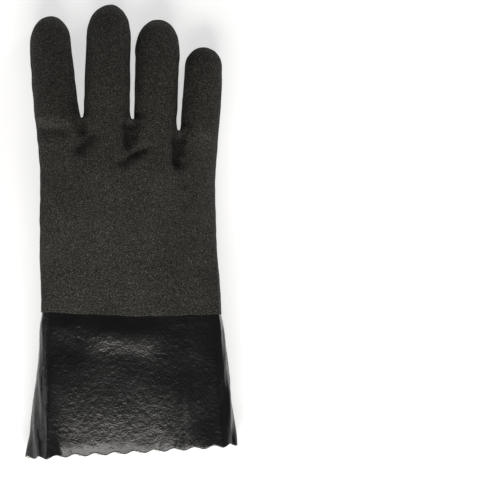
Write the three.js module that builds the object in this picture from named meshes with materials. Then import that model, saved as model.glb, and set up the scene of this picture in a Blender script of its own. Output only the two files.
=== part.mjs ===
// A coated work glove for the right hand, lying palm down with its thumb folded under the palm.
// X runs across the knuckles towards the little finger, Y from the cuff's hem to the fingertips,
// and Z up out of the back of the hand. Sizes are in millimetres.
import * as THREE from "three";

const { lerp, degToRad, smoothstep, clamp } = THREE.MathUtils;

// Driving sizes along the glove.
const CUFF_LENGTH = 98; // hem to the edge of the rough coat
const PALM_LENGTH = 130; // edge of the rough coat to the web beside the middle finger
const CROTCH_LENGTH = 67; // edge of the rough coat to the crotch of the thumb
const KNUCKLE_LENGTH = 34; // how far the valleys between the fingers run down the hand
const LAP_LENGTH = 10; // how far the cuff runs up under the rough coat

// Driving sizes across and through the glove.
const PALM_WIDTH = 118; // at its narrowest, below the knuckles
const BACK_HEIGHT = 52; // floor to the top of the knuckles
const HEM_WIDTH = 145; // widest across the flared hem
const HEM_HEIGHT = 28; // floor to the top of the hem
const THUMB_WIDTH = 32;
const THUMB_THICKNESS = 22.5;
const THUMB_CLEARANCE = 2; // between the thumb and the palm over it

// Walls and clearances.
const WALL = 2; // knit liner with both coats
const LIP_WALL = 0.8; // the rough coat alone, where it laps over the cuff
const CUFF_WALL = 1.5; // knit liner with the smooth coat
const LAP_GAP = 0.4; // between the cuff and the lip around it
const FINGER_GAP = 2; // open air between two fingers beside their web

// The scalloped hem.
const SCALLOP_PITCH = 13.3;
const SCALLOP_DEPTH = 2; // crest to hollow
const HEM_RISE = 9; // how much shorter the cuff is on the little finger's side

// The fingers, from the index finger to the little finger.
// web: the gap on the little finger's side, as a share of half the palm's width.
// along: where that gap starts, as a share of PALM_LENGTH.
// rise: height of the middle of the root, as a share of BACK_HEIGHT.
// reach and thick: length past the root, and thickness.
// taper: width where the tip begins over the width at the root.
// tip: length of the rounded tip over its width.
// lean: degrees towards the little finger, at the root and at the tip.
// drop: height of the end of the tip over the thickness.
const FINGERS = [
  { web: -0.515, along: 1, rise: 0.69, reach: 69, thick: 25, taper: 0.92,
    tip: 0.63, lean: [-8, -3], drop: 0.16 },
  { web: 0.049, along: 1, rise: 0.74, reach: 77, thick: 26, taper: 0.95,
    tip: 0.68, lean: [0.9, 0.3], drop: 0.16 },
  { web: 0.573, along: 0.94, rise: 0.66, reach: 71, thick: 25, taper: 1.03,
    tip: 0.66, lean: [2.4, 0], drop: 0.2 },
  { web: 1.032, along: 0.92, rise: 0.54, reach: 57, thick: 23, taper: 0.96,
    tip: 0.5, lean: [5.6, 0.5], drop: 0.24 },
];
const OUTER_SIDE = -1.048; // the index finger's outer side, measured as web is
const THUMB = { side: -0.71, reach: 65, taper: 0.86, tip: 0.55, lean: [-3, 1], drop: 0.42 };

// Sections of the hand below the webs, from the edge of the rough coat.
// along: share of PALM_LENGTH.
// shift and half: the middle and the half width, as shares of half the palm's width.
// top: heights of the back, as shares of BACK_HEIGHT.
// under: heights of the palm, as shares of its height over the thumb. Below 0 it is pressed flat.
// Both are on the index finger's side, in the middle and on the little finger's side.
// square: exponent of the rounded outline, 2 for an ellipse.
const SECTIONS = [
  { along: 0, shift: 0.037, half: 1.029, top: [0.69, 0.7, 0.68], under: [-0.06, -0.06, -0.06], square: 3.4 },
  { along: 0.12, shift: 0.03, half: 1.022, top: [0.73, 0.74, 0.7], under: [-0.06, -0.06, -0.06], square: 3.2 },
  { along: 0.3, shift: 0.01, half: 1.01, top: [0.82, 0.82, 0.74], under: [0.42, 0.16, 0.02], square: 2.9 },
  { along: 0.52, shift: 0.004, half: 0.996, top: [0.94, 0.93, 0.81], under: [0.9, 0.56, 0.14], square: 2.7 },
  { along: 0.72, shift: 0.002, half: 0.99, top: [0.97, 0.98, 0.84], under: [0.85, 0.7, 0.3], square: 2.6 },
  { along: 1, shift: -0.008, half: 1.042, top: [0.97, 1, 0.8], under: [0.84, 0.94, 0.62], square: 2.4 },
];
const SECTION_SIDES = 0.6; // where the outer heights are measured, as a share of the half width

// Corners of the hem's outline, clockwise from the crease on the index finger's side of the back.
// x: share of half HEM_WIDTH from the middle of the hem. z: share of HEM_HEIGHT.
// column: the hand's column that the crease runs up to.
// flare: 1 for a straight line from the coat's edge to the hem, more for one that bends outwards.
const HEM_CORNERS = [
  { x: -0.79, z: 1, column: ["back", 1], flare: 1.2 },
  { x: 0.82, z: 0.97, column: ["back", 23], flare: 1 },
  { x: 1, z: 0.4, column: ["littleSide", 1], flare: 0.95 },
  { x: 0.9, z: 0, column: ["palm", 23], flare: 1 },
  { x: -0.88, z: 0, column: ["palm", 1], flare: 1.2 },
  { x: -1, z: 0.4, column: ["indexSide", 1], flare: 1.6 },
];
const HEM_SHIFT = 0.034; // the middle of the hem, as a share of half its width
const SETTLE_LENGTH = 8; // below the lip, over which the cuff swells out to the hand's outline

// Creases and dents in the back of the hand.
// x: share of half the palm's width. along: share of PALM_LENGTH. turn: degrees from the X axis.
// length, width and depth in millimetres.
const FOLDS = [
  { name: "index knuckle crease", x: -0.78, along: 0.925, turn: 3, length: 20, width: 5, depth: 1.4 },
  { name: "index web crease", x: -0.43, along: 0.87, turn: 48, length: 14, width: 5.5, depth: 1.8 },
  { name: "middle web crease", x: 0.05, along: 0.81, turn: 30, length: 14, width: 5.5, depth: 2.2 },
  { name: "ring web crease", x: 0.6, along: 0.83, turn: 100, length: 14, width: 6, depth: 1.6 },
];

// Faces: how finely the skin is divided.
const FINGER_STEPS = 6; // faces across the back of a finger
const SIDE_STEPS = 4; // faces down the side of a finger
const TURN = 180 / (FINGER_STEPS + SIDE_STEPS); // degrees between neighbours round a finger
const LOWER_RINGS = 6; // from the lap to the crotch of the thumb
const UPPER_SHARES = [0.18, 0.38, 0.54, 0.68, 0.8, 0.91, 1]; // rings from there to the webs
const STEM_SHARES = [0.07, 0.2, 0.38, 0.58, 0.79, 1]; // rings up to where a tip begins
const TIP_ANGLES = [26, 48, 67, 82]; // rings round a tip, in degrees
const CUFF_SHARES = [0, 0.05, 0.12, 0.27, 0.45, 0.63, 0.8]; // rings from the coat's edge down
const HEM_SHARES = [0.92, 1]; // and to the hem, each with twice as many faces as the one before
const THUMB_COLUMNS = 7; // columns of the palm that run into the thumb
const THUMB_START_ANGLE = 172; // of the first point over its crotch
const MOUND_START = 0.2; // where the ball of the thumb begins, as a share of CROTCH_LENGTH

const HALF_PALM = PALM_WIDTH / 2;
const UNDERARM = THUMB_THICKNESS + THUMB_CLEARANCE; // height of the palm over the thumb
const EDGE_COS = Math.cos(degToRad((TURN * SIDE_STEPS) / 2));

// A value of SECTIONS at a share of PALM_LENGTH, on a smooth curve through the rows.
function sectionValue(along, pick) {
  const last = SECTIONS.length - 1;
  const next = SECTIONS.findIndex((row) => row.along > along);
  const upper = next < 0 ? last : next;
  const lower = upper - 1;
  const t = (along - SECTIONS[lower].along) / (SECTIONS[upper].along - SECTIONS[lower].along);
  const slope = (k) => {
    const before = SECTIONS[Math.max(k - 1, 0)];
    const after = SECTIONS[Math.min(k + 1, last)];
    return (pick(after) - pick(before)) / (after.along - before.along);
  };
  const span = SECTIONS[upper].along - SECTIONS[lower].along;
  const [a, b] = [pick(SECTIONS[lower]), pick(SECTIONS[upper])];
  const [da, db] = [slope(lower) * span, slope(upper) * span];
  const t2 = t * t;
  const t3 = t2 * t;
  return (2 * t3 - 3 * t2 + 1) * a + (t3 - 2 * t2 + t) * da + (3 * t2 - 2 * t3) * b + (t3 - t2) * db;
}

// The parabola through three heights, at a share of the half width.
function acrossValue([low, middle, high], share) {
  const t = share / SECTION_SIDES;
  return middle + ((high - low) / 2) * t + ((high + low) / 2 - middle) * t * t;
}

// A point of the hand's rounded outline. side is 1 on the back and -1 on the palm.
function outlinePoint(along, share, side, under = null) {
  const at = (pick) => sectionValue(along, pick);
  const heights = (name) => [0, 1, 2].map((k) => at((row) => row[name][k]));
  const top = acrossValue(heights("top"), share) * BACK_HEIGHT;
  const bottom = acrossValue(under ?? heights("under"), share) * UNDERARM;
  const square = at((row) => row.square);
  const rounded = Math.pow(1 - Math.pow(Math.min(Math.abs(share), 1), square), 1 / square);
  const x = (at((row) => row.shift) + at((row) => row.half) * share) * HALF_PALM;
  const z = (top + bottom) / 2 + (side * rounded * (top - bottom)) / 2;
  return new THREE.Vector3(x, CUFF_LENGTH + along * PALM_LENGTH, Math.max(z, 0));
}

// Where finger number f starts: its middle, and its half width at the webs.
function fingerRoot(f) {
  const left = f === 0 ? OUTER_SIDE : FINGERS[f - 1].web;
  const right = FINGERS[f].web;
  const leftCos = f === 0 ? 1 : EDGE_COS;
  const rightCos = f === FINGERS.length - 1 ? 1 : EDGE_COS;
  const half = (right - left) / (leftCos + rightCos);
  return {
    left: left * HALF_PALM,
    right: right * HALF_PALM,
    middle: (left + leftCos * half) * HALF_PALM,
    half: half * HALF_PALM,
  };
}

// A point of the scalloped outline at the webs, on finger f at an angle up from +X.
function rootPoint(f, angle) {
  const root = fingerRoot(f);
  const finger = FINGERS[f];
  const leftAlong = f === 0 ? finger.along : FINGERS[f - 1].along;
  const turn = degToRad(angle);
  const x = root.middle + root.half * Math.cos(turn);
  const share = clamp((x - root.left) / (root.right - root.left), 0, 1);
  const y = CUFF_LENGTH + lerp(leftAlong, finger.along, share) * PALM_LENGTH;
  const z = finger.rise * BACK_HEIGHT + (finger.thick / 2) * Math.sin(turn);
  return new THREE.Vector3(x, y, z);
}

// The same point where two fingers share it, halfway between them.
function sharedRootPoint(f, angle) {
  return rootPoint(f, angle).lerp(rootPoint(f + 1, 180 - angle), 0.5);
}

// The columns that run up the hand: 25 on the back, as many on the palm and 3 on each side.
function makeColumns() {
  const firstAngle = 180 - (TURN * SIDE_STEPS) / 2;
  const last = FINGERS.length * FINGER_STEPS;
  const across = (side) =>
    Array.from({ length: last + 1 }, (_, k) => {
      const f = Math.min(Math.floor(k / FINGER_STEPS), FINGERS.length - 1);
      const step = k - f * FINGER_STEPS;
      const shared = step === 0 && f > 0;
      const angle = side * (firstAngle - TURN * step);
      const root = shared ? sharedRootPoint(f - 1, 180 * side - angle) : rootPoint(f, angle);
      return { root, side };
    });
  const down = (f, towards) =>
    [1, 0, -1].map((step) => {
      const angle = towards > 0 ? TURN * step : 180 - TURN * step;
      return { root: rootPoint(f, angle), side: step < 0 ? -1 : 1 };
    });
  const columns = {
    back: across(1),
    littleSide: down(FINGERS.length - 1, 1),
    palm: across(-1),
    indexSide: down(0, -1),
  };
  const left = OUTER_SIDE * HALF_PALM;
  const right = FINGERS[FINGERS.length - 1].web * HALF_PALM;
  for (const column of Object.values(columns).flat())
    column.share = (2 * column.root.x - left - right) / (right - left);
  return columns;
}
const COLUMNS = makeColumns();

// One ring of the hand as lists of points, y measured from the edge of the rough coat.
function handRing(y) {
  const along = y / PALM_LENGTH;
  const knuckle = smoothstep(y, PALM_LENGTH - KNUCKLE_LENGTH, PALM_LENGTH);
  const upper = smoothstep(y, CROTCH_LENGTH, PALM_LENGTH);
  const place = (column) => {
    const point = outlinePoint(along, column.share, column.side);
    const webDrop = CUFF_LENGTH + PALM_LENGTH - column.root.y;
    point.y -= webDrop * upper;
    return point.lerp(column.root, knuckle);
  };
  const ring = Object.fromEntries(Object.entries(COLUMNS).map(([name, list]) => [name, list.map(place)]));
  if (y <= CROTCH_LENGTH) addThumbMound(ring, along, y);
  return ring;
}

// Angle of each point round the thumb, in the order of its loop.
const thumbAngle = (k) => THUMB_START_ANGLE - (360 / (2 * THUMB_COLUMNS + 2)) * k;

// A point of the thumb's section at the crotch.
function thumbPoint(angle, y) {
  const turn = degToRad(angle);
  const x = THUMB.side * HALF_PALM + (THUMB_WIDTH / 2) * Math.cos(turn);
  return new THREE.Vector3(x, CUFF_LENGTH + y, (THUMB_THICKNESS / 2) * (1 + Math.sin(turn)));
}

// The ball of the thumb swells out of the palm's outline below the crotch.
function addThumbMound(ring, along, y) {
  const grown = smoothstep(y / CROTCH_LENGTH, MOUND_START, 1);
  const pressed = SECTIONS[0].under;
  for (let k = 0; k < THUMB_COLUMNS; k++) {
    const onFloor = outlinePoint(along, COLUMNS.palm[k].share, -1, pressed);
    ring.palm[k] = onFloor.lerp(thumbPoint(thumbAngle(2 * THUMB_COLUMNS - k), y), grown);
  }
  ring.palm[THUMB_COLUMNS].lerp(thumbPoint(thumbAngle(THUMB_COLUMNS), y), 0.35 * grown);
  ring.indexSide[2].lerp(thumbPoint(thumbAngle(2 * THUMB_COLUMNS + 1), y), 0.5 * grown);
}

// A skin is one open surface: its points, the wall under each, and its faces.
const newSkin = () => ({ points: [], walls: [], faces: [] });

function addPoints(skin, points, wall) {
  return points.map((point) => {
    skin.points.push(point.clone().setZ(Math.max(point.z, 0)));
    skin.walls.push(wall);
    return skin.points.length - 1;
  });
}

// Faces between two loops of as many points.
function bridge(skin, below, above) {
  below.forEach((a, k) => {
    const next = (k + 1) % below.length;
    skin.faces.push([a, below[next], above[next], above[k]]);
  });
}

// A finger's or thumb's tube, from the loop that it grows out of to its rounded tip.
function addTube(skin, rootLoop, { start, angles, half, thick, taper, tip, reach, lean, drop }) {
  const tipLength = tip * 2 * half * taper;
  const stem = 1 - tipLength / reach;
  const [leanOut, leanIn] = lean.map((angle) => Math.tan(degToRad(angle)));
  const middle = (t) => {
    const x = start.x + reach * (leanOut * t + ((leanIn - leanOut) * t * t) / 2);
    return new THREE.Vector3(x, start.y + reach * t, lerp(start.z, drop * thick, lerp(t * t, t, 0.38)));
  };
  const ringAt = (t, scale) => {
    const centre = middle(t);
    const ahead = middle(t + 0.01).sub(middle(t - 0.01)).normalize();
    const across = new THREE.Vector3(1, 0, 0).addScaledVector(ahead, -ahead.x).normalize();
    const up = across.clone().cross(ahead);
    const width = half * lerp(1, taper, Math.min(t / stem, 1)) * scale;
    return angles.map((angle) => {
      const turn = degToRad(angle);
      const out = across.clone().multiplyScalar(width * Math.cos(turn));
      return out.addScaledVector(up, (thick / 2) * scale * Math.sin(turn)).add(centre);
    });
  };
  const stations = [
    ...STEM_SHARES.map((share) => [share * stem, 1]),
    ...TIP_ANGLES.map((angle) => degToRad(angle)).map((a) => [lerp(stem, 1, Math.sin(a)), Math.cos(a)]),
  ];
  let loop = rootLoop;
  for (const [t, scale] of stations) {
    const next = addPoints(skin, ringAt(t, scale), WALL);
    bridge(skin, loop, next);
    loop = next;
  }
  const [pole] = addPoints(skin, [middle(1)], WALL);
  loop.forEach((a, k) => skin.faces.push([a, loop[(k + 1) % loop.length], pole]));
}

const reversed = (list) => [...list].reverse();
const loopOf = (ids) => [...ids.back, ...ids.littleSide, ...reversed(ids.palm), ...reversed(ids.indexSide)];

function addRing(skin, ring, wall) {
  return Object.fromEntries(Object.entries(ring).map(([name, list]) => [name, addPoints(skin, list, wall)]));
}

// The thumb's loop and the palm's loop over it share the line of the crotch.
function splitOffThumb(skin, ids, ring) {
  const over = handRing(CROTCH_LENGTH + 1e-6);
  const crotch = Array.from({ length: THUMB_COLUMNS }, (_, k) =>
    thumbPoint(thumbAngle(k), CROTCH_LENGTH).lerp(over.palm[k], 0.5),
  );
  const web = addPoints(skin, crotch, WALL);
  const lower = reversed(ids.palm.slice(0, THUMB_COLUMNS + 1));
  const thumbLoop = [...web, ...lower, ids.indexSide[2]];
  const start = new THREE.Vector3(THUMB.side * HALF_PALM, ring.palm[0].y, THUMB_THICKNESS / 2);
  addTube(skin, thumbLoop, {
    ...THUMB,
    start,
    angles: thumbLoop.map((_, k) => thumbAngle(k)),
    half: THUMB_WIDTH / 2,
    thick: THUMB_THICKNESS,
  });
  return { ...ids, palm: [...web, ...ids.palm.slice(THUMB_COLUMNS)] };
}

// Four fingers grow out of the last ring, with a line of web points between neighbours.
function addFingers(skin, ids) {
  const sideAngles = [TURN, 0, -TURN];
  const webs = FINGERS.slice(0, -1).map((_, f) =>
    addPoints(skin, sideAngles.map((angle) => sharedRootPoint(f, angle)), WALL),
  );
  FINGERS.forEach((finger, f) => {
    const root = fingerRoot(f);
    const from = f * FINGER_STEPS;
    const to = from + FINGER_STEPS + 1;
    const right = webs[f] ?? ids.littleSide;
    const left = f === 0 ? ids.indexSide : webs[f - 1];
    const under = reversed(ids.palm.slice(from, to));
    const loop = [...ids.back.slice(from, to), ...right, ...under, ...reversed(left)];
    const leftEdge = root.left + (f === 0 ? 0 : FINGER_GAP / 2);
    const rightEdge = root.right - (f === FINGERS.length - 1 ? 0 : FINGER_GAP / 2);
    const start = rootPoint(f, 90);
    start.set((leftEdge + rightEdge) / 2, start.y, finger.rise * BACK_HEIGHT);
    const firstAngle = 180 - (TURN * SIDE_STEPS) / 2;
    addTube(skin, loop, {
      ...finger,
      start,
      angles: loop.map((_, k) => firstAngle - TURN * k),
      half: (rightEdge - leftEdge) / 2,
    });
  });
}

// Presses the creases into the points that face up.
function pressFolds(skin) {
  const normals = pointNormals(skin);
  skin.points.forEach((point, k) => {
    if (normals[k].z < 0.3) return;
    for (const fold of FOLDS) {
      const turn = degToRad(fold.turn);
      const dx = point.x - fold.x * HALF_PALM;
      const dy = point.y - CUFF_LENGTH - fold.along * PALM_LENGTH;
      const lengthwise = (dx * Math.cos(turn) + dy * Math.sin(turn)) / fold.length;
      const crosswise = (dy * Math.cos(turn) - dx * Math.sin(turn)) / fold.width;
      point.z -= fold.depth * Math.exp(-2 * lengthwise ** 2 - crosswise ** 2);
    }
  });
}

function handSkin() {
  const skin = newSkin();
  const lapEnd = LAP_LENGTH + WALL - LIP_WALL;
  const lowerShares = Array.from({ length: LOWER_RINGS }, (_, k) => (k + 1) / LOWER_RINGS);
  const lower = lowerShares.map((share) => lerp(lapEnd, CROTCH_LENGTH, share));
  const upper = UPPER_SHARES.map((share) => lerp(CROTCH_LENGTH, PALM_LENGTH, share));
  let ids = null;
  for (const y of [0, LAP_LENGTH, lapEnd, ...lower, ...upper]) {
    const ring = handRing(y);
    const next = addRing(skin, ring, y <= LAP_LENGTH ? LIP_WALL : WALL);
    if (ids) bridge(skin, loopOf(ids), loopOf(next));
    ids = y === CROTCH_LENGTH ? splitOffThumb(skin, next, ring) : next;
  }
  addFingers(skin, ids);
  pressFolds(skin);
  return skin;
}

// The cuff's columns are the hand's, from the first corner of the hem round to it again.
function cuffColumns(y) {
  const ring = handRing(y);
  const loop = loopOf(ring);
  const corners = HEM_CORNERS.map(({ column: [name, k] }) => loop.indexOf(ring[name][k]));
  const turned = loop.map((_, k) => loop[(k + corners[0]) % loop.length]);
  return { line: turned, corners: corners.map((k) => (k - corners[0] + loop.length) % loop.length) };
}

// Splits each face of a closed line of points into as many as asked for.
function split(line, parts) {
  return line.flatMap((point, k) =>
    Array.from({ length: parts }, (_, j) => point.clone().lerp(line[(k + 1) % line.length], j / parts)),
  );
}

// The hand's outline, moved in by an inset.
function insetOutline(y, inset) {
  const { line } = cuffColumns(y);
  return line.map((point, k) => {
    const before = line[(k + line.length - 1) % line.length];
    const after = line[(k + 1) % line.length];
    const along = after.clone().sub(before);
    const inward = new THREE.Vector3(along.z, 0, -along.x).normalize();
    return point.clone().addScaledVector(inward, inset);
  });
}

// For each column, the corner before it and how far it is on the way to the next.
function hemPlaces(parts) {
  const { line, corners } = cuffColumns(0);
  const fine = split(line, parts);
  const lengths = [0];
  fine.forEach((point, k) => lengths.push(lengths[k] + point.distanceTo(fine[(k + 1) % fine.length])));
  const ends = [...corners.map((k) => k * parts), fine.length];
  return fine.map((_, k) => {
    const corner = ends.findIndex((end) => end > k) - 1;
    const [from, to] = [lengths[ends[corner]], lengths[ends[corner + 1]]];
    return { corner, share: (lengths[k] - from) / (to - from) };
  });
}

// A value of HEM_CORNERS at such a place.
function cornerValue({ corner, share }, name) {
  return lerp(HEM_CORNERS[corner][name], HEM_CORNERS[(corner + 1) % HEM_CORNERS.length][name], share);
}

// The hem's outline, with its scallops.
function hemOutline(places) {
  const half = HEM_WIDTH / 2;
  const line = places.map((place) => {
    const x = (cornerValue(place, "x") + HEM_SHIFT) * half;
    return new THREE.Vector3(x, 0, cornerValue(place, "z") * HEM_HEIGHT);
  });
  const lengths = [0];
  line.forEach((point, k) => lengths.push(lengths[k] + point.distanceTo(line[(k + 1) % line.length])));
  const total = lengths.pop();
  const pitch = total / Math.round(total / SCALLOP_PITCH);
  return line.map((point, k) => {
    const rise = HEM_RISE * clamp((point.x / half + 1) / 2, 0, 1) ** 1.7;
    const scallop = (SCALLOP_DEPTH / 2) * (1 - Math.cos((2 * Math.PI * lengths[k]) / pitch));
    return point.setY(rise + scallop);
  });
}

// The cuff's ring at a share of its length from the coat's edge to the hem.
function cuffRing(share, parts) {
  const inset = LIP_WALL + LAP_GAP;
  const settled = smoothstep(share * CUFF_LENGTH, 0, SETTLE_LENGTH);
  const edge = split(insetOutline(0, inset * (1 - settled)), parts);
  const places = hemPlaces(parts);
  return hemOutline(places).map(({ x, y, z }, k) => {
    const flare = share ** cornerValue(places[k], "flare");
    return new THREE.Vector3(lerp(edge[k].x, x, flare), lerp(edge[k].y, y, share), lerp(edge[k].z, z, flare));
  });
}

// Faces between a loop and one over it with half as many points.
function bridgeToHalf(skin, below, above) {
  above.forEach((a, k) => {
    const b = above[(k + 1) % above.length];
    const [c, d, e] = [below[2 * k], below[2 * k + 1], below[(2 * k + 2) % below.length]];
    skin.faces.push([c, d, a], [d, b, a], [d, e, b]);
  });
}

function cuffSkin() {
  const skin = newSkin();
  const rings = [insetOutline(LAP_LENGTH - LAP_GAP, LIP_WALL + LAP_GAP)];
  for (const share of CUFF_SHARES) rings.push(cuffRing(share, 1));
  HEM_SHARES.forEach((share, k) => rings.push(cuffRing(share, 2 ** (k + 1))));
  let loop = null;
  for (const ring of rings.reverse()) {
    const next = addPoints(skin, ring, CUFF_WALL);
    if (loop) (loop.length === next.length ? bridge : bridgeToHalf)(skin, loop, next);
    loop = next;
  }
  return skin;
}

// The outward direction at each point of a skin.
function pointNormals(skin) {
  const normals = skin.points.map(() => new THREE.Vector3());
  for (const face of skin.faces) {
    const [a, b, c, d] = face.map((id) => skin.points[id]);
    const normal = c.clone().sub(a).cross((d ?? a).clone().sub(b));
    for (const id of face) normals[id].add(normal);
  }
  return normals.map((normal) => normal.normalize());
}

// A closed solid: the skin, a copy moved in by the wall, and a rim along each open edge.
function shellGeometry(skin) {
  const normals = pointNormals(skin);
  const inner = skin.points.map((point, k) => point.clone().addScaledVector(normals[k], -skin.walls[k]));
  const count = skin.points.length;
  const faces = [...skin.faces, ...skin.faces.map((face) => face.map((id) => id + count).reverse())];
  const edges = new Set();
  for (const face of skin.faces) face.forEach((a, k) => edges.add(a + "," + face[(k + 1) % face.length]));
  for (const edge of edges) {
    const [a, b] = edge.split(",").map(Number);
    if (!edges.has(b + "," + a)) faces.push([b, a, a + count, b + count]);
  }
  const points = [...skin.points, ...inner];
  const triangles = faces.flatMap(([a, b, c, d]) => {
    if (d === undefined) return [a, b, c];
    const shorter = points[a].distanceTo(points[c]) < points[b].distanceTo(points[d]);
    return shorter ? [a, b, c, a, c, d] : [a, b, d, b, c, d];
  });
  const geometry = new THREE.BufferGeometry().setFromPoints(points);
  geometry.setIndex(triangles);
  geometry.computeVertexNormals();
  return geometry;
}

const roughCoat = new THREE.MeshStandardMaterial({ color: 0x2f2e2b, roughness: 0.9, metalness: 0 });
const smoothCoat = new THREE.MeshStandardMaterial({ color: 0x1d1c1b, roughness: 0.35, metalness: 0 });

function namedMesh(name, skin, material) {
  const mesh = new THREE.Mesh(shellGeometry(skin), material);
  mesh.name = name;
  return mesh;
}

// The origin is on the floor, under the middle of the glove.
const glove = new THREE.Group();
glove.add(namedMesh("hand_shell", handSkin(), roughCoat));
glove.add(namedMesh("gauntlet_cuff", cuffSkin(), smoothCoat));
const middle = new THREE.Box3().setFromObject(glove).getCenter(new THREE.Vector3());
glove.position.set(-middle.x, -middle.y, 0);

export default glove;
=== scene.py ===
"""The visual model of a coated work glove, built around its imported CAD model.

Shapes are worked out in millimetres, with the cuff's hem at y = 0 and the floor at z = 0,
and are moved into the CAD model's frame, in metres, when a mesh is made.
"""
import math
from collections import namedtuple

import bpy
import numpy as np
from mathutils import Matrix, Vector


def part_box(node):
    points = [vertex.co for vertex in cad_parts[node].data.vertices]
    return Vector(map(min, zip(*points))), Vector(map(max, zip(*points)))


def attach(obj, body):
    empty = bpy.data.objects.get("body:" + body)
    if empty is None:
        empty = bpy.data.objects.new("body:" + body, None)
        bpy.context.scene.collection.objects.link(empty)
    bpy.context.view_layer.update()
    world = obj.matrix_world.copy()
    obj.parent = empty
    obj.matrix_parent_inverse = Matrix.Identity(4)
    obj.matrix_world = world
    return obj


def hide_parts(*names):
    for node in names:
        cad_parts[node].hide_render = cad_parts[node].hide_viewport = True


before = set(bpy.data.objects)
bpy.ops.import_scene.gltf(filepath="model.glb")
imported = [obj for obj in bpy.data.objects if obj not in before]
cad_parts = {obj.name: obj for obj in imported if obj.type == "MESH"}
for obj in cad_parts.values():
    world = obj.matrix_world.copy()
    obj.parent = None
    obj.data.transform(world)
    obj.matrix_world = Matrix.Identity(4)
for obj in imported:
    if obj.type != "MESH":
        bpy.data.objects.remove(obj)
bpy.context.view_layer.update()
MM = 0.001

# Sizes along the glove, as in the CAD model.
CUFF_LENGTH = 98.0  # hem to the edge of the rough coat
PALM_LENGTH = 130.0  # edge of the rough coat to the web beside the middle finger
CROTCH_LENGTH = 67.0  # edge of the rough coat to the crotch of the thumb
KNUCKLE_LENGTH = 34.0  # how far the valleys between the fingers run down the hand
LAP_LENGTH = 10.0  # how far the cuff runs up under the rough coat

# Sizes across and through the glove, as in the CAD model.
HALF_PALM = 59.0
BACK_HEIGHT = 52.0
HALF_HEM = 72.5
HEM_HEIGHT = 28.0
THUMB_WIDTH = 32.0
THUMB_THICKNESS = 22.5
THUMB_CLEARANCE = 2.0
PALM_HEIGHT = THUMB_THICKNESS + THUMB_CLEARANCE

# Walls, clearances and the scalloped hem, as in the CAD model.
WALL = 2.0
LIP_WALL = 0.8
CUFF_WALL = 1.5
LAP_GAP = 0.4
FINGER_GAP = 2.0
SCALLOP_PITCH = 13.3
SCALLOP_DEPTH = 2.0
HEM_RISE = 9.0  # how much shorter the cuff is on the little finger's side

# reach and thick: length past the root, and thickness.
# taper: width where the tip begins over the width at the root.
# tip: length of the rounded tip over its width.
# lean_root and lean_tip: degrees towards the little finger.
# drop: height of the end of the tip over the thickness.
Digit = namedtuple("Digit", "reach thick taper tip lean_root lean_tip drop")
THUMB = Digit(65, THUMB_THICKNESS, 0.86, 0.55, -3.0, 1.0, 0.42)

# web: the gap on the little finger's side, as a share of HALF_PALM.
# along: where that gap starts, as a share of PALM_LENGTH.
# rise: height of the middle of the root, as a share of BACK_HEIGHT.
Finger = namedtuple("Finger", "web along rise digit")
FINGERS = [
    Finger(-0.515, 1.0, 0.69, Digit(69, 25, 0.92, 0.63, -8.0, -3.0, 0.16)),
    Finger(0.049, 1.0, 0.74, Digit(77, 26, 0.95, 0.68, 0.9, 0.3, 0.16)),
    Finger(0.573, 0.94, 0.66, Digit(71, 25, 1.03, 0.66, 2.4, 0.0, 0.20)),
    Finger(1.032, 0.92, 0.54, Digit(57, 23, 0.96, 0.50, 5.6, 0.5, 0.24)),
]
OUTER_SIDE = -1.048  # the index finger's outer side, measured as web is
THUMB_SIDE = -0.71  # the middle of the thumb, measured as web is

# Sections of the hand. The columns are the share of PALM_LENGTH, the middle and the half width as
# shares of HALF_PALM, three heights of the back as shares of BACK_HEIGHT, three of the palm as
# shares of PALM_HEIGHT, and the exponent of the rounded outline, 2 for an ellipse. The heights are
# those on the index finger's side, in the middle and on the little finger's side.
SECTIONS = np.array([
    (0.00, 0.037, 1.029, 0.69, 0.70, 0.68, -0.06, -0.06, -0.06, 3.4),
    (0.12, 0.030, 1.022, 0.73, 0.74, 0.70, -0.06, -0.06, -0.06, 3.2),
    (0.30, 0.010, 1.010, 0.82, 0.82, 0.74, 0.42, 0.16, 0.02, 2.9),
    (0.52, 0.004, 0.996, 0.94, 0.93, 0.81, 0.90, 0.56, 0.14, 2.7),
    (0.72, 0.002, 0.990, 0.97, 0.98, 0.84, 0.85, 0.70, 0.30, 2.6),
    (1.00, -0.008, 1.042, 0.97, 1.00, 0.80, 0.84, 0.94, 0.62, 2.4),
])
AT_ALONG = 0
AT_MIDDLE = 1
AT_HALF = 2
AT_BACK = slice(3, 6)
AT_PALM = slice(6, 9)
AT_SQUARE = 9
SECTION_SIDES = 0.6  # where the outer heights are measured, as a share of the half width
CUFF_SQUARE = 7.0  # the exponent at the edge of the rough coat, where the glove is boxier
SQUARE_LENGTH = 34.0  # from there to where the exponents of SECTIONS hold

# Rings and columns of the cage that the hand is subdivided from.
STEPS = 6  # faces across the back of a finger
SIDE_STEPS = 4  # faces down the side of a finger
TURN = 180 / (STEPS + SIDE_STEPS)  # degrees between neighbours round a finger
EDGE_COS = math.cos(math.radians(TURN * SIDE_STEPS / 2))
FIRST_ANGLE = 180 - TURN * SIDE_STEPS / 2
LIP_RING = 4.0  # a ring in the lip, above its edge
LOWER_RINGS = 9  # from the lap to the crotch of the thumb
UPPER_RINGS = 12  # from there to the webs
STEM_SHARES = (0.07, 0.16, 0.28, 0.42, 0.57, 0.72, 0.87, 1.0)  # rings up to where a tip begins
TIP_ANGLES = (20, 38, 54, 68, 80)  # rings round a tip, in degrees
LEVELS = 2  # of subdivision

# The thumb's root in the palm.
THUMB_COLUMNS = 7  # columns of the palm that run into the thumb
THUMB_START = 172.0  # angle of the first of them
MOUND_START = 0.2  # where the thumb's mound begins, as a share of CROTCH_LENGTH
PALM_PULL = 0.35  # how far the next column of the palm follows the thumb
SIDE_PULL = 0.5  # how far the column on the index finger's side does

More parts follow.
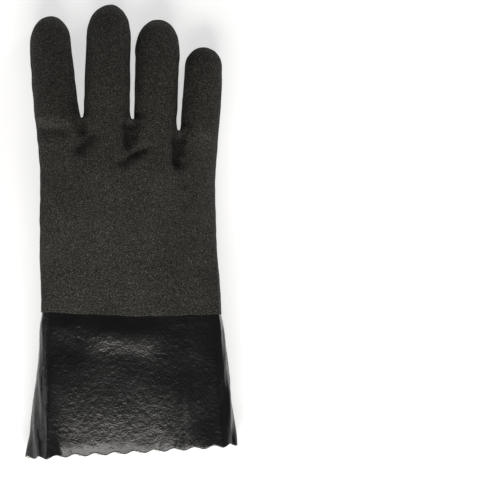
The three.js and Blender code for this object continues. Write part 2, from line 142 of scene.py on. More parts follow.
FALL_EVENNESS = 0.38  # 1 for a digit that falls in a straight line, 0 for one that bends down
NEARBY = 0.01  # share of a digit's reach over which its direction is measured
JUST_ABOVE = 1e-6
TINY = 1e-9

COAT_SLOT = 0
LINER_SLOT = 1


def lerp(a, b, t):
    return a + (b - a) * t


def smoothstep(x, low, high):
    """0 at low and before it, 1 at high and past it. high may be the smaller one."""
    t = np.clip((x - low) / (high - low), 0, 1)
    return t * t * (3 - 2 * t)


def hill(x, middle, width, power=2):
    """1 in the middle, falling softly to 0 on both sides."""
    return np.exp(-(np.abs((x - middle) / width) ** power))


def section(along):
    """The values of SECTIONS at a share of PALM_LENGTH, on a smooth curve through the rows."""
    a, last = SECTIONS[:, AT_ALONG], len(SECTIONS) - 1
    upper = next((k for k in range(len(a)) if a[k] > along), last)
    lower = upper - 1
    span = a[upper] - a[lower]
    t = (along - a[lower]) / span

    def slope(k):
        after, before = min(k + 1, last), max(k - 1, 0)
        return (SECTIONS[after] - SECTIONS[before]) / (a[after] - a[before]) * span

    eased = (2 * t**3 - 3 * t**2 + 1) * SECTIONS[lower] + (3 * t**2 - 2 * t**3) * SECTIONS[upper]
    return eased + (t**3 - 2 * t**2 + t) * slope(lower) + (t**3 - t**2) * slope(upper)


def across(low, middle, high, share):
    """A height at a share of the half width, on a parabola through the three that are given."""
    t = share / SECTION_SIDES
    return middle + (high - low) / 2 * t + ((high + low) / 2 - middle) * t * t


def outline_point(along, share, side, palm=None):
    """A point of a section's outline, on the back where side is 1 and on the palm where it is -1."""
    row = section(along)
    power = lerp(CUFF_SQUARE, row[AT_SQUARE], smoothstep(along * PALM_LENGTH, 0, SQUARE_LENGTH))
    top = across(*row[AT_BACK], share) * BACK_HEIGHT
    heights = row[AT_PALM] if palm is None else palm
    bottom = across(*heights, share) * PALM_HEIGHT
    rounded = (1 - min(abs(share), 1) ** power) ** (1 / power)
    x = (row[AT_MIDDLE] + row[AT_HALF] * share) * HALF_PALM
    z = (top + bottom) / 2 + side * rounded * (top - bottom) / 2
    return np.array([x, CUFF_LENGTH + along * PALM_LENGTH, max(z, 0)])


def finger_root(f):
    """A finger's left and right edge, middle and half width at the webs."""
    left = OUTER_SIDE if f == 0 else FINGERS[f - 1].web
    right = FINGERS[f].web
    left_cos = 1 if f == 0 else EDGE_COS
    right_cos = 1 if f == len(FINGERS) - 1 else EDGE_COS
    half = (right - left) / (left_cos + right_cos)
    return [v * HALF_PALM for v in (left, right, left + left_cos * half, half)]


def root_point(f, angle):
    """A point round a finger's root, at an angle from the little finger's side up over the back."""
    left, right, middle, half = finger_root(f)
    finger = FINGERS[f]
    turn = math.radians(angle)
    x = middle + half * math.cos(turn)
    share = np.clip((x - left) / (right - left), 0, 1)
    along = lerp(FINGERS[max(f - 1, 0)].along, finger.along, share)
    z = finger.rise * BACK_HEIGHT + finger.digit.thick / 2 * math.sin(turn)
    return np.array([x, CUFF_LENGTH + along * PALM_LENGTH, z])


def shared_root(f, angle):
    """A point of the web between a finger and the next one."""
    return (root_point(f, angle) + root_point(f + 1, 180 - angle)) / 2


# root: the column's point at the webs. side: as in outline_point. share: of the half width.
Column = namedtuple("Column", "root side share")


def make_columns():
    """The columns that run up the hand, over the back, down each side and over the palm."""
    lines = {"back": [], "little": [], "palm": [], "index": []}
    last = len(FINGERS) - 1
    for name, side in (("back", 1), ("palm", -1)):
        for k in range(len(FINGERS) * STEPS + 1):
            f = min(k // STEPS, last)
            angle = side * (FIRST_ANGLE - TURN * (k - f * STEPS))
            shared = k == f * STEPS and f > 0
            root = shared_root(f - 1, 180 * side - angle) if shared else root_point(f, angle)
            lines[name].append((root, side))
    for step in (1, 0, -1):
        side = -1 if step < 0 else 1
        lines["little"].append((root_point(last, TURN * step), side))
        lines["index"].append((root_point(0, 180 - TURN * step), side))
    left, right = OUTER_SIDE * HALF_PALM, FINGERS[-1].web * HALF_PALM

    def column(root, side):
        return Column(root, side, (2 * root[0] - left - right) / (right - left))

    return {name: [column(root, side) for root, side in line] for name, line in lines.items()}


COLUMNS = make_columns()


def thumb_angle(k):
    """The angle of a column round the thumb, counted from the index finger's side over its top."""
    return THUMB_START - 360 / (2 * THUMB_COLUMNS + 2) * k


def thumb_point(angle, y):
    turn = math.radians(angle)
    x = THUMB_SIDE * HALF_PALM + THUMB_WIDTH / 2 * math.cos(turn)
    return np.array([x, CUFF_LENGTH + y, THUMB_THICKNESS / 2 * (1 + math.sin(turn))])


def hand_ring(y):
    """One ring of the hand by columns, y measured from the edge of the rough coat."""
    along = y / PALM_LENGTH
    knuckle = smoothstep(y, PALM_LENGTH - KNUCKLE_LENGTH, PALM_LENGTH)
    upper = smoothstep(y, CROTCH_LENGTH, PALM_LENGTH)
    ring = {}
    for name, line in COLUMNS.items():
        ring[name] = []
        for root, side, share in line:
            point = outline_point(along, share, side)
            point[1] -= (CUFF_LENGTH + PALM_LENGTH - root[1]) * upper
            ring[name].append(lerp(point, root, knuckle))
    if y <= CROTCH_LENGTH:
        grow_mound(ring, y)
    return ring


def grow_mound(ring, y):
    """Moves the palm's columns below the crotch of the thumb onto the thumb's outline."""
    grown = smoothstep(y / CROTCH_LENGTH, MOUND_START, 1)
    palm, index = ring["palm"], ring["index"]
    for k in range(THUMB_COLUMNS):
        share = COLUMNS["palm"][k].share
        on_floor = outline_point(y / PALM_LENGTH, share, -1, SECTIONS[0, AT_PALM])
        palm[k] = lerp(on_floor, thumb_point(thumb_angle(2 * THUMB_COLUMNS - k), y), grown)
    inner = thumb_point(thumb_angle(THUMB_COLUMNS), y)
    palm[THUMB_COLUMNS] = lerp(palm[THUMB_COLUMNS], inner, PALM_PULL * grown)
    outer = thumb_point(thumb_angle(2 * THUMB_COLUMNS + 1), y)
    index[-1] = lerp(index[-1], outer, SIDE_PULL * grown)


def upper_heights(samples=400):
    """Where to take the rings above the thumb, so that they end up evenly spaced."""
    y = np.linspace(CROTCH_LENGTH, PALM_LENGTH, samples)
    moved = lerp(y, PALM_LENGTH, smoothstep(y, PALM_LENGTH - KNUCKLE_LENGTH, PALM_LENGTH))
    wanted = np.linspace(CROTCH_LENGTH, PALM_LENGTH, UPPER_RINGS + 1)[1:]
    return [float(v) for v in np.interp(wanted[:-1], moved, y)] + [PALM_LENGTH]


def hand_heights():
    """Where the hand's rings are taken, measured from the edge of the rough coat."""
    lap_end = LAP_LENGTH + WALL - LIP_WALL
    heights = [0.0, LIP_RING, LAP_LENGTH, lap_end]
    heights += [lerp(lap_end, CROTCH_LENGTH, (k + 1) / LOWER_RINGS) for k in range(LOWER_RINGS)]
    heights[-1] = CROTCH_LENGTH
    return heights + upper_heights()


def loop_of(ring):
    """A ring's columns in one loop, over the back to the little finger and back under the palm."""
    return ring["back"] + ring["little"] + ring["palm"][::-1] + ring["index"][::-1]


class Cage:
    """An open surface of points, the wall under each, and faces."""

    def __init__(self):
        self.points, self.walls, self.faces = [], [], []

    def add(self, points, wall):
        """Adds points and returns their numbers."""
        first = len(self.points)
        for point in points:
            self.points.append((point[0], point[1], max(point[2], 0)))
            self.walls.append(wall)
        return list(range(first, len(self.points)))

    def add_ring(self, ring, wall):
        return {name: self.add(line, wall) for name, line in ring.items()}

    def bridge(self, below, above):
        for k, a in enumerate(below):
            after = (k + 1) % len(below)
            self.faces.append((a, below[after], above[after], above[k]))

    def tube(self, loop, start, angles, half, digit):
        """A digit, from the loop that it grows out of to its rounded tip."""
        stem = 1 - digit.tip * 2 * half * digit.taper / digit.reach
        lean_root = math.tan(math.radians(digit.lean_root))
        lean_tip = math.tan(math.radians(digit.lean_tip))

        def middle(t):
            x = start[0] + digit.reach * (lean_root * t + (lean_tip - lean_root) * t * t / 2)
            z = lerp(start[2], digit.drop * digit.thick, lerp(t * t, t, FALL_EVENNESS))
            return np.array([x, start[1] + digit.reach * t, z])

        stations = [(share * stem, 1.0) for share in STEM_SHARES]
        for angle in map(math.radians, TIP_ANGLES):
            stations.append((lerp(stem, 1, math.sin(angle)), math.cos(angle)))
        for t, scale in stations:
            ahead = middle(t + NEARBY) - middle(t - NEARBY)
            ahead /= np.linalg.norm(ahead)
            over = np.array([1.0, 0, 0]) - ahead * ahead[0]
            over /= np.linalg.norm(over)
            up = np.cross(over, ahead)
            width = half * lerp(1, digit.taper, min(t / stem, 1)) * scale
            ring = [
                middle(t) + over * width * math.cos(a) + up * digit.thick / 2 * scale * math.sin(a)
                for a in map(math.radians, angles)
            ]
            after = self.add(ring, WALL)
            self.bridge(loop, after)
            loop = after
        pole = self.add([middle(1)], WALL)[0]
        for k, a in enumerate(loop):
            self.faces.append((a, loop[(k + 1) % len(loop)], pole))


def add_thumb(cage, ids):
    """Adds the thumb, and returns the ring to go on from, which has the thumb's web in it."""
    over = hand_ring(CROTCH_LENGTH + JUST_ABOVE)["palm"]
    under = [thumb_point(thumb_angle(k), CROTCH_LENGTH) for k in range(THUMB_COLUMNS)]
    web = cage.add([(a + b) / 2 for a, b in zip(under, over)], WALL)
    loop = web + ids["palm"][THUMB_COLUMNS::-1] + [ids["index"][-1]]
    start = (THUMB_SIDE * HALF_PALM, CUFF_LENGTH + CROTCH_LENGTH, THUMB_THICKNESS / 2)
    angles = [thumb_angle(k) for k in range(len(loop))]
    cage.tube(loop, start, angles, THUMB_WIDTH / 2, THUMB)
    return {**ids, "palm": web + ids["palm"][THUMB_COLUMNS:]}


def add_fingers(cage, ids):
    """Adds the webs and the fingers to the last ring of the hand."""
    webs = [
        cage.add([shared_root(f, angle) for angle in (TURN, 0, -TURN)], WALL)
        for f in range(len(FINGERS) - 1)
    ]
    for f, finger in enumerate(FINGERS):
        cut = slice(f * STEPS, f * STEPS + STEPS + 1)
        right = webs[f] if f < len(webs) else ids["little"]
        left = ids["index"] if f == 0 else webs[f - 1]
        loop = ids["back"][cut] + right + ids["palm"][cut][::-1] + left[::-1]
        low, high, _, _ = finger_root(f)
        low += FINGER_GAP / 2 if f else 0
        high -= FINGER_GAP / 2 if f < len(webs) else 0
        start = ((low + high) / 2, root_point(f, 90)[1], finger.rise * BACK_HEIGHT)
        angles = [FIRST_ANGLE - TURN * k for k in range(len(loop))]
        cage.tube(loop, start, angles, (high - low) / 2, finger.digit)


def hand_cage():
    """The coarse surface of the whole hand."""
    cage = Cage()
    ids = None
    for y in hand_heights():
        new = cage.add_ring(hand_ring(y), LIP_WALL if y <= LAP_LENGTH else WALL)
        if ids:
            cage.bridge(loop_of(ids), loop_of(new))
        ids = add_thumb(cage, new) if y == CROTCH_LENGTH else new
    add_fingers(cage, ids)
    return cage


def face_normals(points, faces):
    """The outward direction at each point, for quads of point numbers."""
    normals = np.zeros_like(points)
    a, b, c, d = (points[faces[:, k]] for k in range(4))
    normal = np.cross(c - a, d - b)
    for k in range(4):
        np.add.at(normals, faces[:, k], normal)
    return normals / np.maximum(np.linalg.norm(normals, axis=1, keepdims=True), TINY)


def shell(outer, walls, faces, inner_from):
    """The outer surface, a copy of inner_from moved in by the wall, and a rim along the open edges."""
    count = len(outer)
    inner = inner_from - face_normals(inner_from, faces) * walls[:, None]
    after = np.roll(faces, -1, axis=1)
    edges = set(zip(faces.ravel().tolist(), after.ravel().tolist()))
    rim = np.array([(k, j, j + count, k + count) for j, k in edges if (k, j) not in edges])
    slots = np.repeat([COAT_SLOT, LINER_SLOT, COAT_SLOT], [len(faces), len(faces), len(rim)])
    return np.vstack([outer, inner]), np.vstack([faces, faces[:, ::-1] + count, rim]), slots


# Noise

PRIMES = (374761393, 668265263, 2147483647)
MIXER = 1274126177
WORD = 0xFFFFFFFF
KEPT_BITS = 0xFFFFFF
LAYER_STEP = 1.9  # how much smaller and weaker each layer is than the one before


def hashed(cells, seed):
    """A number from 0 to 1 for each row of three whole numbers."""
    x, y, z = (cells[:, k].astype(np.int64) * prime for k, prime in enumerate(PRIMES))
    h = (x + y + z + seed * MIXER) & WORD
    h = ((h ^ (h >> 13)) * MIXER) & WORD
    return ((h ^ (h >> 16)) & KEPT_BITS) / float(KEPT_BITS)


def noise(points, size, seed):
    """Smooth noise from -1 to 1 with features of a size in millimetres, or of one for each axis."""
    scaled = points / np.array(size, float)
    cell = np.floor(scaled)
    t = scaled - cell
    t = t * t * t * (t * (t * 6 - 15) + 10)
    total = np.zeros(len(points))
    for corner in range(8):
        step = np.array([corner & 1, corner >> 1 & 1, corner >> 2 & 1])
        weight = np.prod(np.where(step, t, 1 - t), axis=1)
        total += weight * hashed(cell + step, seed)
    return total * 2 - 1


def layered(points, size, layers, seed):
    """Noise in layers, each finer and weaker than the one before."""
    scales = [LAYER_STEP**k for k in range(layers)]
    return sum(noise(points, size / scale, seed + k) / scale for k, scale in enumerate(scales))


def summed(points, layers):
    """Noise in layers, each given by its height, size and seed."""
    return sum(height * noise(points, size, seed) for height, size, seed in layers)


# Meshes

def origin_shift():
    """What moves the glove's own coordinates into the CAD model's, in millimetres."""
    low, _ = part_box("gauntlet_cuff")
    hem = hem_outline()
    return np.array([low.x / MM - hem[:, 0].min(), low.y / MM - hem[:, 1].min(), 0.0])


def add_object(name, data):
    made = bpy.data.objects.new(name, data)
    bpy.context.scene.collection.objects.link(made)
    return made


def new_mesh(name, points, faces):
    mesh = bpy.data.meshes.new(name)
    mesh.from_pydata(points, [], [tuple(map(int, face)) for face in faces])
    return mesh


def mesh_object(name, coat, points, faces, slots):
    """A piece with its own coat outside and the knit liner inside."""
    mesh = new_mesh(name, (points + SHIFT) * MM, faces)
    mesh.materials.append(MATERIALS[coat])
    mesh.materials.append(MATERIALS["knit_liner"])
    mesh.polygons.foreach_set("material_index", np.array(slots, dtype=np.int32))
    mesh.polygons.foreach_set("use_smooth", np.ones(len(mesh.polygons), dtype=bool))
    mesh.update()
    return add_object(name, mesh)


def read_points(mesh):
    flat = np.empty(len(mesh.vertices) * 3)
    mesh.vertices.foreach_get("co", flat)
    return flat.reshape(-1, 3)


def subdivided(points, faces, marks, levels, rounds=3):
    """Catmull-Clark subdivision that passes through the points. Returns points, quads and marks."""
    mesh = new_mesh("cage", points, faces)
    layer = mesh.attributes.new("mark", "FLOAT", "POINT")
    layer.data.foreach_set("value", marks)
    cage = add_object("cage", mesh)
    modifier = cage.modifiers.new("subdivide", "SUBSURF")
    modifier.levels = modifier.render_levels = levels
    modifier.boundary_smooth = "ALL"
    moved = points.copy()
    for attempt in range(rounds + 1):
        mesh.vertices.foreach_set("co", moved.ravel())
        mesh.update()
        fine = cage.evaluated_get(bpy.context.evaluated_depsgraph_get()).to_mesh()
        result = read_points(fine)
        if attempt < rounds:
            moved += points - result[: len(points)]
    quads = np.empty(len(fine.loops), dtype=np.int32)
    fine.loops.foreach_get("vertex_index", quads)
    values = np.empty(len(fine.vertices))
    fine.attributes["mark"].data.foreach_get("value", values)
    bpy.data.objects.remove(cage)
    bpy.data.meshes.remove(mesh)
    return result, quads.reshape(-1, 4), values


# Materials

class Shader:
    """A short way to write a node material."""

    def __init__(self, name, **inputs):
        self.material = bpy.data.materials.new(name)
        self.material.use_nodes = True
        self.tree = self.material.node_tree
        self.surface = self.tree.nodes["Principled BSDF"]
        for key, value in inputs.items():
            self.surface.inputs[key.replace("_", " ")].default_value = value
        self.place = self.tree.nodes.new("ShaderNodeTexCoord").outputs["Object"]

    def node(self, kind, inputs=None, **settings):
        """A new node. An input is set to a number or colour, or linked to another node's output."""
        node = self.tree.nodes.new("ShaderNode" + kind)
        for key, value in settings.items():
            setattr(node, key, value)
        for key, value in (inputs or {}).items():
            if isinstance(value, bpy.types.NodeSocket):
                self.tree.links.new(value, node.inputs[key])
            else:
                node.inputs[key].default_value = value
        return node

    def noise(self, size_mm, detail, roughness=0.5, distortion=0.0):
        inputs = {"Vector": self.place, "Scale": 1 / (size_mm * MM), "Detail": detail}
        inputs |= {"Roughness": roughness, "Distortion": distortion}
        return self.node("TexNoise", inputs).outputs["Fac"]

    def spread(self, value, source, target):
        """Moves a value from one range, given as two numbers, to another."""
        inputs = {"Value": value, "From Min": source[0], "From Max": source[1]}
        inputs |= {"To Min": target[0], "To Max": target[1]}
        return self.node("MapRange", inputs).outputs["Result"]

    def maths(self, kind, a, b):
        return self.node("Math", {0: a, 1: b}, operation=kind).outputs[0]

    def weighted(self, a, b, share):
        """Two values added, the second with its share of the weight."""
        first = self.maths("MULTIPLY", a, 1 - share)
        return self.maths("ADD", first, self.maths("MULTIPLY", b, share))

    def colours(self, value, stops):
        node = self.node("ValToRGB", {"Fac": value})
        ramp = node.color_ramp
        while len(ramp.elements) < len(stops):
            ramp.elements.new(0.5)
        for element, (place, colour) in zip(ramp.elements, stops):
            element.position = place
            element.color = (*colour, 1)
        return node.outputs["Color"]

    def bump(self, height, millimetres, strength, under=None):
        inputs = {"Height": height, "Distance": millimetres * MM, "Strength": strength}
        if under:
            inputs["Normal"] = under
        return self.node("Bump", inputs).outputs["Normal"]

    def wire(self, **outputs):
        """Links outputs to the surface shader's inputs, and returns the material."""
        for key, value in outputs.items():
            self.tree.links.new(value, self.surface.inputs[key.replace("_", " ")])
        return self.material


MOST_NOISE = (0.3, 0.7)  # where nearly all of a noise texture's values lie

# Colours by tone, from the valleys of the rough coat's grain to its lit specks: partly the coat's own
# speckled tone, partly painted shade in the valleys and painted glints on the specks.
COAT_TONES_AND_PAINTED_GRAIN_LIGHT = [
    (0.34, (0.0085, 0.0081, 0.0071)),
    (0.50, (0.0280, 0.0269, 0.0231)),
    (0.66, (0.0900, 0.0865, 0.0748)),
    (0.74, (0.1900, 0.1840, 0.1620)),
]
SMOOTH_TONES = [
    (0.3, (0.0032, 0.0029, 0.0030)),
    (0.7, (0.0052, 0.0048, 0.0048)),
]
LINER_TONES = [
    (0.2, (0.36, 0.35, 0.32)),
    (0.8, (0.62, 0.60, 0.56)),
]
GRIT_SIZE = 0.62
CLUMP_SIZE = 2.2
PAINTED_CREASE_SHADE = 0.6  # painted shade: the share of the coat's own colour kept at the bottom of a crease
RIB_PITCH = 2.566  # from one rib of the liner to the next
WAVE_RADIANS = 20  # in one unit of a wave texture at scale 1


def rough_coat():
    """Matt charcoal coat with a sandy grain whose tones carry painted shade and glints, with shade
    also painted into its colour in the creases.
    """
    s = Shader("rough_coat", Specular_IOR_Level=0.2)
    grit = s.noise(GRIT_SIZE, detail=1.0, roughness=0.6)
    clumps = s.noise(CLUMP_SIZE, detail=2.0)
    patches = s.noise(26, detail=3.0)
    # the grain's tones carry painted shade in its valleys and painted glints on its specks
    base = s.colours(s.weighted(grit, clumps, 0.12), COAT_TONES_AND_PAINTED_GRAIN_LIGHT)
    # painted shade: the crease attribute darkens the coat's colour in the creases
    painted_crease_shade = s.node("Attribute", attribute_name="crease").outputs["Fac"]
    # random worn patches of tone, multiplied below with the painted crease shade
    worn = s.spread(patches, MOST_NOISE, (0.86, 1.16))
    worn_and_painted_shade = s.maths("MULTIPLY", worn, s.spread(painted_crease_shade, (0.1, 1), (1, PAINTED_CREASE_SHADE)))
    shaded = s.node("VectorMath", {0: base, "Scale": worn_and_painted_shade}, operation="SCALE").outputs[0]
    rough = s.spread(grit, MOST_NOISE, (0.95, 0.7))
    low = s.bump(clumps, 0.35, strength=0.5)
    normal = s.bump(grit, 0.9, strength=1.0, under=low)
    return s.wire(Base_Color=shaded, Roughness=rough, Normal=normal)


def smooth_coat():
    """Near black semi-gloss coat with a fine leathery wrinkle."""
    s = Shader("smooth_coat", Specular_IOR_Level=0.4)
    wrinkle = s.noise(3.0, detail=2.0, roughness=0.6, distortion=0.5)
    fine = s.noise(1.3, detail=1.0, roughness=0.6)
    patches = s.noise(22, detail=2.0)
    base = s.colours(patches, SMOOTH_TONES)
    rough = s.spread(patches, MOST_NOISE, (0.27, 0.36))
    low = s.bump(wrinkle, 0.4, strength=0.6)
    normal = s.bump(fine, 0.2, strength=0.75, under=low)
    return s.wire(Base_Color=base, Roughness=rough, Normal=normal)


def knit_liner():
    """Off-white jersey, seen inside the glove and at the cut hem."""
    s = Shader("knit_liner", Specular_IOR_Level=0.2, Sheen_Weight=0.3)
    scale = math.tau / (WAVE_RADIANS * RIB_PITCH * MM)
    inputs = {"Vector": s.place, "Scale": scale, "Distortion": 1.0}
    inputs |= {"Detail": 1.0, "Detail Scale": 2.0}
    ribs = s.node("TexWave", inputs, bands_direction="X").outputs["Fac"]
    fuzz = s.noise(0.8, detail=3.0, roughness=0.6)
    tone = s.weighted(ribs, fuzz, 0.5)
    base = s.colours(tone, LINER_TONES)
    normal = s.bump(tone, 0.35, strength=0.7)
    rough = s.spread(fuzz, MOST_NOISE, (0.85, 1.0))
    return s.wire(Base_Color=base, Roughness=rough, Normal=normal)


# The hand

# Creases in the back: start and end in x and y, width, depth, and the bulge beside them.
CREASES = [
    (-62.0, 221.0, -38.0, 221.0, 3.8, 2.4, 0.6),
    (-30.5, 228.5, -31.0, 217.0, 3.2, 3.6, 0.4),
    (-21.0, 221.5, -34.5, 206.0, 5.0, 3.6, 0.4),
    (2.5, 228.0, 1.0, 207.0, 3.8, 5.6, 0.5),
    (-5.0, 198.0, 15.0, 209.5, 2.8, 3.8, 0.7),
    (34.8, 218.0, 34.8, 196.0, 3.6, 5.6, 0.5),
    (35.0, 200.0, 40.5, 181.0, 5.0, 1.3, 0.2),
]
PAINTED_SHADE_DEPTH = 5.0  # depth at which the shade painted into a crease is whole
CREASE_END = 4.0  # length over which an end fades
CREASE_POWER = 1.4  # 2 for a rounder bottom, 1 for a sharper one
CREASE_WANDER = 0.7  # how far it strays from a straight line
WANDER_SIZE = 7.0
CREASE_FACE = (0.1, 0.6)  # how far up a face has to look to be creased
BULGE_PLACE = 2.1  # from the middle of a crease, in widths
BULGE_WIDTH = 1.2


def press_creases(points, normals):
    """Presses the creases in. Returns the points, and from 0 to 1 how deep in a crease each lies,
    which weights the shade painted into the coat's colour there.
    """
    depth = np.zeros(len(points))
    wander = layered(points, WANDER_SIZE, layers=2, seed=31) * CREASE_WANDER
    for x0, y0, x1, y1, width, dig, bulge in CREASES:
        way = np.array([x1 - x0, y1 - y0])
        length = np.linalg.norm(way)
        way /= length
        offset = points[:, :2] - (x0, y0)
        lengthwise = offset @ way
        crosswise = np.abs(offset @ np.array([-way[1], way[0]]) + wander)
        past = np.maximum(np.abs(lengthwise - length / 2) - length / 2 + CREASE_END, 0)
        fade = hill(past, 0, CREASE_END)
        depth -= dig * fade * hill(crosswise, 0, width, CREASE_POWER)
        depth += bulge * fade * hill(crosswise, BULGE_PLACE * width, BULGE_WIDTH * width)
    depth *= smoothstep(normals[:, 2], *CREASE_FACE)
    return points + normals * depth[:, None], np.clip(-depth / PAINTED_SHADE_DEPTH, 0, 1)


# Tight folds, where the wall is evened out and thinned: x, y, z and reach.
TIGHT_FOLDS = [
    (-57.5, 165.7, 18.0, 8.0),
    (12.0, 225.0, 22.0, 5.0),
]
THINNED = 0.8  # share of the wall that is taken away there
RELAX_STEP = 0.5


def fold_share(points):
    """1 in the middle of each tight fold, and 0 away from them."""
    shares = [
        hill(np.linalg.norm(points - (x, y, z), axis=1), 0, reach, power=4)
        for x, y, z, reach in TIGHT_FOLDS
    ]
    return np.max(shares, axis=0)


def relaxed(points, quads, rounds=14):
    """Evens out the points around the tight folds, so that no face is folded."""
    share = RELAX_STEP * fold_share(points)
    points = points.copy()
    for _ in range(rounds):
        total, count = np.zeros_like(points), np.zeros(len(points))
        for k in range(4):
            for a, b in ((quads[:, k], quads[:, k - 1]), (quads[:, k - 1], quads[:, k])):
                np.add.at(total, a, points[b])
                np.add.at(count, a, 1)
        points += (total / count[:, None] - points) * share[:, None]
    return points


KNUCKLE_DROP = 3.2
KNUCKLE_START = 190.0  # y where the drop starts, is deepest and ends
KNUCKLE_MIDDLE = 222.0
KNUCKLE_END = 292.0
KNUCKLE_HEIGHTS = (18.0, 32.0)  # z where the drop starts, and where it is whole


def drop_knuckles(points):
    """Lowers the back a little around the knuckles."""
    y, z = points[:, 1], points[:, 2]
    share = smoothstep(y, KNUCKLE_START, KNUCKLE_MIDDLE) * smoothstep(y, KNUCKLE_END, KNUCKLE_MIDDLE)
    points[:, 2] -= KNUCKLE_DROP * share * smoothstep(z, *KNUCKLE_HEIGHTS)


# The dipped edge of the rough coat. It bows towards the hem in the middle and a little on the
# right, and away from it on the left. After each bow come its middle and width in x, or the x
# where it starts and where it is whole.
MIDDLE_BOW = 1.5
MIDDLE_BOW_X = (12.0, 34.0)
RIGHT_BOW = 0.4
RIGHT_BOW_X = (30.0, 60.0)
LEFT_BOW = 1.1
LEFT_BOW_X = (-20.0, -60.0)
BOW_HEIGHTS = (8.0, 26.0)  # z where the bows start, and where they are whole
RIPPLE = 0.35
RIPPLE_SIZE = 7.0
EDGE_REACH = 9.0  # how far up the coat the bow of its edge is felt


def bow_edge(points):
    """Lets the dipped edge of the rough coat wander along the glove."""
    x = points[:, 0]
    bow = -MIDDLE_BOW * hill(x, *MIDDLE_BOW_X) + LEFT_BOW * smoothstep(x, *LEFT_BOW_X)
    bow -= RIGHT_BOW * smoothstep(x, *RIGHT_BOW_X)
    ripple = RIPPLE * noise(points * (1, 0, 1), RIPPLE_SIZE, seed=21)
    bow = bow * smoothstep(points[:, 2], *BOW_HEIGHTS) + ripple
    points[:, 1] += bow * smoothstep(points[:, 1], CUFF_LENGTH + EDGE_REACH, CUFF_LENGTH)


# The uneven coat: the height and size of its lumps and of the dents between them, the z where
# they start and where they are whole, and the length over which they set in at the edge.
LUMP_HEIGHT = 0.34
LUMP_SIZE = 17.0
DENT_HEIGHT = 0.16
DENT_SIZE = 5.0
UNEVEN_HEIGHTS = (0.5, 4.0)
UNEVEN_START = 8.0


def lumps(points):
    """How far the uneven coat stands out at each point, away from the floor and the edge."""
    height = LUMP_HEIGHT * layered(points, LUMP_SIZE, layers=3, seed=3)
    height = height + DENT_HEIGHT * noise(points, DENT_SIZE, seed=9)
    off_floor = smoothstep(points[:, 2], *UNEVEN_HEIGHTS)
    return height * (off_floor * smoothstep(points[:, 1], CUFF_LENGTH, CUFF_LENGTH + UNEVEN_START))


def make_hand():
    cage = hand_cage()
    points, quads, walls = subdivided(np.array(cage.points), cage.faces, cage.walls, LEVELS)
    walls = walls * (1 - THINNED * fold_share(points))
    points = relaxed(points, quads)
    points, painted_crease_shade = press_creases(points, face_normals(points, quads))
    drop_knuckles(points)
    bow_edge(points)
    outer = points + face_normals(points, quads) * lumps(points)[:, None]
    piece = mesh_object("coated_hand", "rough_coat", *shell(outer, walls, quads, points))
    # the crease attribute holds the weight of the shade painted into the coat's colour
    layer = piece.data.attributes.new("crease", "FLOAT", "POINT")
    layer.data.foreach_set("value", np.tile(painted_crease_shade, 2))
    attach(piece, "root")
    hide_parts("hand_shell")


# The cuff

# Corners of the hem's outline, clockwise from the crease on the index finger's side of the back.
# x: share of HALF_HEM from the middle of the hem. z: share of HEM_HEIGHT.
# column: the hand's column that the crease runs up to.
# flare: 1 for a straight line from the coat's edge to the hem, more for one that bends outwards.
Corner = namedtuple("Corner", "x z column flare")
HEM_CORNERS = [
    Corner(-0.79, 1.0, ("back", 1), 1.2),
    Corner(0.85, 0.97, ("back", 23), 1.0),
    Corner(0.965, 0.74, ("little", 0), 1.0),
    Corner(1.0, 0.42, ("little", 1), 0.95),
    Corner(0.9, 0.0, ("palm", 23), 1.0),
    Corner(-0.88, 0.0, ("palm", 1), 1.2),
    Corner(-1.0, 0.4, ("index", 1), 1.6),
]
HEM_SHIFT = 0.034  # the middle of the hem, as a share of HALF_HEM
RISE_POWER = 1.7  # 1 for a hem that rises evenly from side to side
SETTLE_LENGTH = 8.0  # below the lip, over which the cuff swells out to the hand's outline
EDGE_STEP = 0.45  # how far inside that outline it starts
LAP_STEPS = (0, 3, 6)  # rings under the lap, measured down from the cuff's upper end
PARTS = 8  # points from one column of the hand to the next
AROUND = PARTS * sum(len(line) for line in COLUMNS.values())
GRAIN_ROWS = 104
INNER_ROWS = 26
CORNER_ROUNDS = 5


def cuff_line(y):
    """The hand's ring from the first corner of the hem, and the corners' places in it."""
    ring = hand_ring(y)
    keys = loop_of({name: [(name, k) for k in range(len(line))] for name, line in ring.items()})
    loop = loop_of(ring)
    first = keys.index(HEM_CORNERS[0].column)
    corners = [(keys.index(corner.column) - first) % len(keys) for corner in HEM_CORNERS]
    return np.array(loop[first:] + loop[:first]), corners


def inset_outline(y, inset):
    """The hand's ring moved in by a distance."""
    line, _ = cuff_line(y)
    along = np.roll(line, -1, axis=0) - np.roll(line, 1, axis=0)
    inward = np.stack([along[:, 2], 0 * along[:, 0], -along[:, 0]], axis=1)
    inward /= np.linalg.norm(inward, axis=1, keepdims=True)
    return line + inward * inset


def smooth_line(line):
    """A closed line with AROUND points, on a Catmull-Rom curve through those given."""
    t = (np.arange(PARTS) / PARTS)[None, :, None]
    p0, p1, p2, p3 = (np.roll(line, shift, axis=0)[:, None, :] for shift in (1, 0, -1, -2))
    square = (2 * p0 - 5 * p1 + 4 * p2 - p3) * t**2
    cube = (3 * p1 - p0 - 3 * p2 + p3) * t**3
    return ((2 * p1 + (p2 - p0) * t + square + cube) / 2).reshape(-1, 3)


def running_lengths(line):
    """The way along a closed line to each of its points, and all the way round."""
    steps = np.linalg.norm(np.roll(line, -1, axis=0) - line, axis=1)
    return np.concatenate([[0], np.cumsum(steps)])


